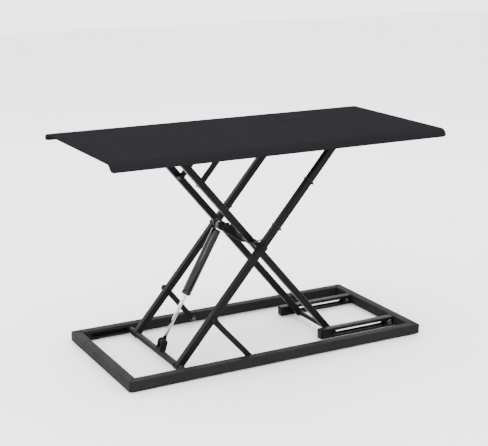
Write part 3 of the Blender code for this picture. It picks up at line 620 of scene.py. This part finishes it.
def spring_axis():
    """The gas spring's lower pin and the direction up along the spring."""
    low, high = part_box("gas_spring_rod")
    pin = Vector((low.x + EYE_R, (low.y + high.y) / 2, low.z + EYE_R))
    return pin, (middle("gas_spring_cylinder") - pin).normalized()


def lug_reach(angle, across, top_r, root_r):
    """Distance from a lug's pin to its edge: round at the pin, with straight sides down to its root."""
    heading = Vector((math.cos(angle), math.sin(angle)))
    steps = 24
    best = top_r
    for step in range(steps + 1):
        share = step / steps
        centre = across * share
        radius = top_r + (root_r - top_r) * share
        along = heading.dot(centre)
        inside = radius ** 2 - (centre.length_squared - along ** 2)
        if inside > 0:
            best = max(best, along + math.sqrt(inside))
    return best


def add_lug(bm, pin, across, start):
    """Adds one lug with eased edges to bm, from start in Y, with a bore for the pin."""
    ease = 0.5 * MM
    end = start + LUG
    bore = PIN_R + 0.3 * MM
    rows = []
    for angle in round_angles(64):
        edge = lug_reach(angle, across, 6.6 * MM, 6.4 * MM)
        section = ((start, bore), (start, edge - ease), (start + ease, edge),
                   (end - ease, edge), (end, edge - ease), (end, bore))
        row = []
        for y, reach in section:
            at = Vector((pin.x, y, pin.z))
            row.append(bm.verts.new(arc_point(at, reach, angle)))
        rows.append(row)
    for first, second in zip(rows, rows[1:] + rows[:1]):
        band(bm, first, second)


def clevis_lugs():
    """Two lugs on the lower shaft, round about the gas spring's pin, and the boss that joins them."""
    pin, _ = spring_axis()
    low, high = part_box("spring_clevis")
    root = LOWER_SHAFT.lerp(pin, 0.3)
    root.y = (low.y + high.y) / 2
    across = Vector((root.x - pin.x, root.z - pin.z))
    bm = bmesh.new()
    add_lug(bm, pin, across, low.y)
    add_lug(bm, pin, across, high.y - LUG)
    half = (high.y - low.y) / 2 - 0.2 * MM
    lathe(bm, root, (0, 1, 0), [(-half, 0), (-half, 5 * MM), (half, 5 * MM), (half, 0)])
    mesh = mesh_of(bm, "clevis_lugs")
    piece = add_piece("clevis_lugs", mesh, "black_steel", "outer_frame", "spring_clevis")
    crisp(piece)


def bright_rod():
    """The gas spring's rod above its eye."""
    pin, up = spring_axis()
    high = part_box("gas_spring_rod")[1]
    length = (high.z - pin.z - SPRING_ROD_R * up.x) / up.z
    bm = bmesh.new()
    lathe(bm, pin, up, [
        (8 * MM, 0), (8 * MM, SPRING_ROD_R), (length - 0.6 * MM, SPRING_ROD_R),
        (length, SPRING_ROD_R - 0.6 * MM), (length, 0)], 40)
    mesh = mesh_of(bm, "gas_spring_bright_rod")
    add_piece("gas_spring_bright_rod", mesh, "chrome_rod", "gas_spring_plunger", "gas_spring_rod")


def lower_eye():
    """The rod's black eye, with the collar that it screws on by and its headed pin."""
    pin, up = spring_axis()
    low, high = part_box("gas_spring_rod")
    reach = (high.y - low.y) / 2
    bm = bmesh.new()
    lathe(bm, pin, up, [
        (3.5 * MM, 0), (3.5 * MM, 4.2 * MM), (8.6 * MM, 4.2 * MM), (9.4 * MM, 3.5 * MM), (9.4 * MM, 0)])
    half = [
        (4.4 * MM, EYE_R), (5.2 * MM, 4.3 * MM), (5.2 * MM, PIN_R), (9 * MM, PIN_R), (9 * MM, 4.8 * MM),
        (reach - 0.5 * MM, 4.8 * MM), (reach, 4.3 * MM), (reach, 2.4 * MM),
        (reach - 0.3 * MM, 2.2 * MM), (reach - 0.3 * MM, 0)]
    mirrored = [(-along, radius) for along, radius in reversed(half)]
    lathe(bm, pin, (0, 1, 0), mirrored + half, 36)
    mesh = mesh_of(bm, "gas_spring_lower_eye")
    add_piece("gas_spring_lower_eye", mesh, "black_steel", "gas_spring_plunger", "gas_spring_rod")


def gas_spring_tube():
    """The cylinder with a rounded top, a rolled groove near its mouth and a recess where the rod enters."""
    low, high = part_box("gas_spring_cylinder")
    centre = middle("gas_spring_cylinder")
    down = -spring_axis()[1]
    radius = centre.y - low.y
    half = ((high.x - low.x) - 2 * radius * abs(down.z)) / abs(down.x) / 2
    top = [
        (-half, 0), (-half, radius - 2.4 * MM), (-half + 0.5 * MM, radius - 1.1 * MM),
        (-half + 1.6 * MM, radius - 0.2 * MM), (-half + 2.6 * MM, radius)]
    groove = [
        (half - 9.4 * MM, radius), (half - 8.6 * MM, radius - 0.7 * MM),
        (half - 7.6 * MM, radius - 0.7 * MM), (half - 6.8 * MM, radius)]
    mouth = [
        (half - 1.6 * MM, radius), (half - 0.5 * MM, radius - 0.5 * MM), (half, radius - 1.6 * MM),
        (half, 5.6 * MM), (half - 1.5 * MM, 5.2 * MM), (half - 1.5 * MM, 4.0 * MM), (half - 1.5 * MM, 0)]
    bm = bmesh.new()
    lathe(bm, centre, down, top + groove + mouth, 48)
    mesh = mesh_of(bm, "gas_spring_tube")
    add_piece("gas_spring_tube", mesh, "cylinder_paint", "gas_spring_body", "gas_spring_cylinder")


# --- Release cable --------------------------------------------------------------------------------------

CABLE_R = 1.3 * MM
CABLE_ROUTE = (  # mm from the middle of the pivot rod
    (-35, -29.5, 32), (-26, -37, 27), (-22, -46, 15), (-17, -56, 6), (-13, -67, 2.5),
    (-10, -78, 4), (-4, -85.5, 9.5), (4, -86.6, 11.3), (10.4, -86.6, 12.2))
ROUTE_STEPS = 6  # points on the cable from one point of its route to the next


def smooth_route(route):
    """A smooth line through the route's points."""
    padded = [route[0] * 2 - route[1], *route, route[-1] * 2 - route[-2]]
    line = []
    for before, start, end, after in zip(padded, padded[1:], padded[2:], padded[3:]):
        for step in range(ROUTE_STEPS):
            t = step / ROUTE_STEPS
            slope = end - before
            bend = 2 * before - 5 * start + 4 * end - after
            twist = 3 * start - before - 3 * end + after
            line.append(0.5 * (2 * start + slope * t + bend * t ** 2 + twist * t ** 3))
    return line + [route[-1]]


def cable_jumper():
    """The cable from the release head, past the front inner arm and over the pivot to the outer arm."""
    line = smooth_route([PIVOT + Vector(offset) * MM for offset in CABLE_ROUTE])
    clips = [*range(8, 14), *range(28, 33)]
    swell = [1.8 if i in clips else 1 for i in range(len(line))]
    soft = tube("cable_jumper", line, CABLE_R, "nylon", None, False, swell)
    graph = bpy.context.evaluated_depsgraph_get()
    mesh = bpy.data.meshes.new_from_object(soft.evaluated_get(graph))
    bpy.data.objects.remove(soft)
    mesh.materials.clear()
    piece = add_piece("cable_jumper", mesh, "nylon", None)
    mesh.shade_smooth()
    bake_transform(piece)


TIE_THICK = 1.0 * MM
TIE_WIDE = 2.6 * MM
TIE_CORNER = 2.2 * MM
TIE_HALF = ARM / 2 + 0.9 * MM  # from the arm's middle to the strap


def tie_outline():
    """A rounded square, as points across an arm."""
    flat = TIE_HALF - TIE_CORNER
    outline = []
    for quarter, (x_sign, y_sign) in enumerate(((1, 1), (-1, 1), (-1, -1), (1, -1))):
        for i in range(5):
            angle = math.pi / 2 * (quarter + i / 4)
            corner = Vector((math.cos(angle), math.sin(angle))) * TIE_CORNER
            outline.append(Vector((x_sign * flat, y_sign * flat)) + corner)
    return outline


def tie(name, reach, sign, tail):
    """A nylon tie round an outer arm and the cable: a flat strap, a square head and a short cut tail."""
    up = UP_OUTER
    out = Vector((-up.z, 0, up.x))
    along_y = Vector((0, 1, 0))
    centre = Vector((PIVOT.x, sign * OUTER_Y, PIVOT.z)) + up * reach
    bm = bmesh.new()
    rows = []
    for point in tie_outline():
        away = point.normalized() * TIE_THICK
        row = []
        for flat, along in ((point, -1), (point, 1), (point + away, 1), (point + away, -1)):
            at = centre + out * flat.x + along_y * flat.y + up * (along * TIE_WIDE / 2)
            row.append(bm.verts.new(at))
        rows.append(row)
    for first, second in zip(rows, rows[1:] + rows[:1]):
        band(bm, first, second)
    turn = Matrix((up, along_y, out)).transposed().to_4x4()
    head_at = centre - out * (TIE_HALF + TIE_THICK) + along_y * (sign * 2.5 * MM)
    tail_at = head_at - out * tail / 2 + up * 0.3 * MM
    head_size = (4.4 * MM, 5 * MM, 3.6 * MM, 1)
    tail_size = (TIE_WIDE * 0.9, 1.1 * MM, tail, 1)
    for at, size in ((head_at, head_size), (tail_at, tail_size)):
        place = Matrix.Translation(at) @ turn @ Matrix.Diagonal(size)
        bmesh.ops.create_cube(bm, size=1, matrix=place)
    piece = add_piece(name, mesh_of(bm, name), "nylon", "outer_frame")
    edges = piece.modifiers.new("edges", "BEVEL")
    edges.width = 0.3 * MM
    edges.segments = 2
    edges.limit_method = "ANGLE"
    crisp(piece)


add_camera()
add_world()
add_lights()
add_floor()
dress_cad()
work_surface()
arm_welds()
rail_welds()
mitre_welds()
clevis_welds()
pivot_fasteners()
stop_screws()
rail_end_screws()
link_nuts()
gas_spring_tube()
clevis_lugs()
bright_rod()
lower_eye()
cable_jumper()
tie("cable_tie_low", 46 * MM, -1, 2.5 * MM)
tie("cable_tie_high", 150 * MM, -1, 2.5 * MM)
tie("cable_tie_rear", 46 * MM, 1, 4 * MM)
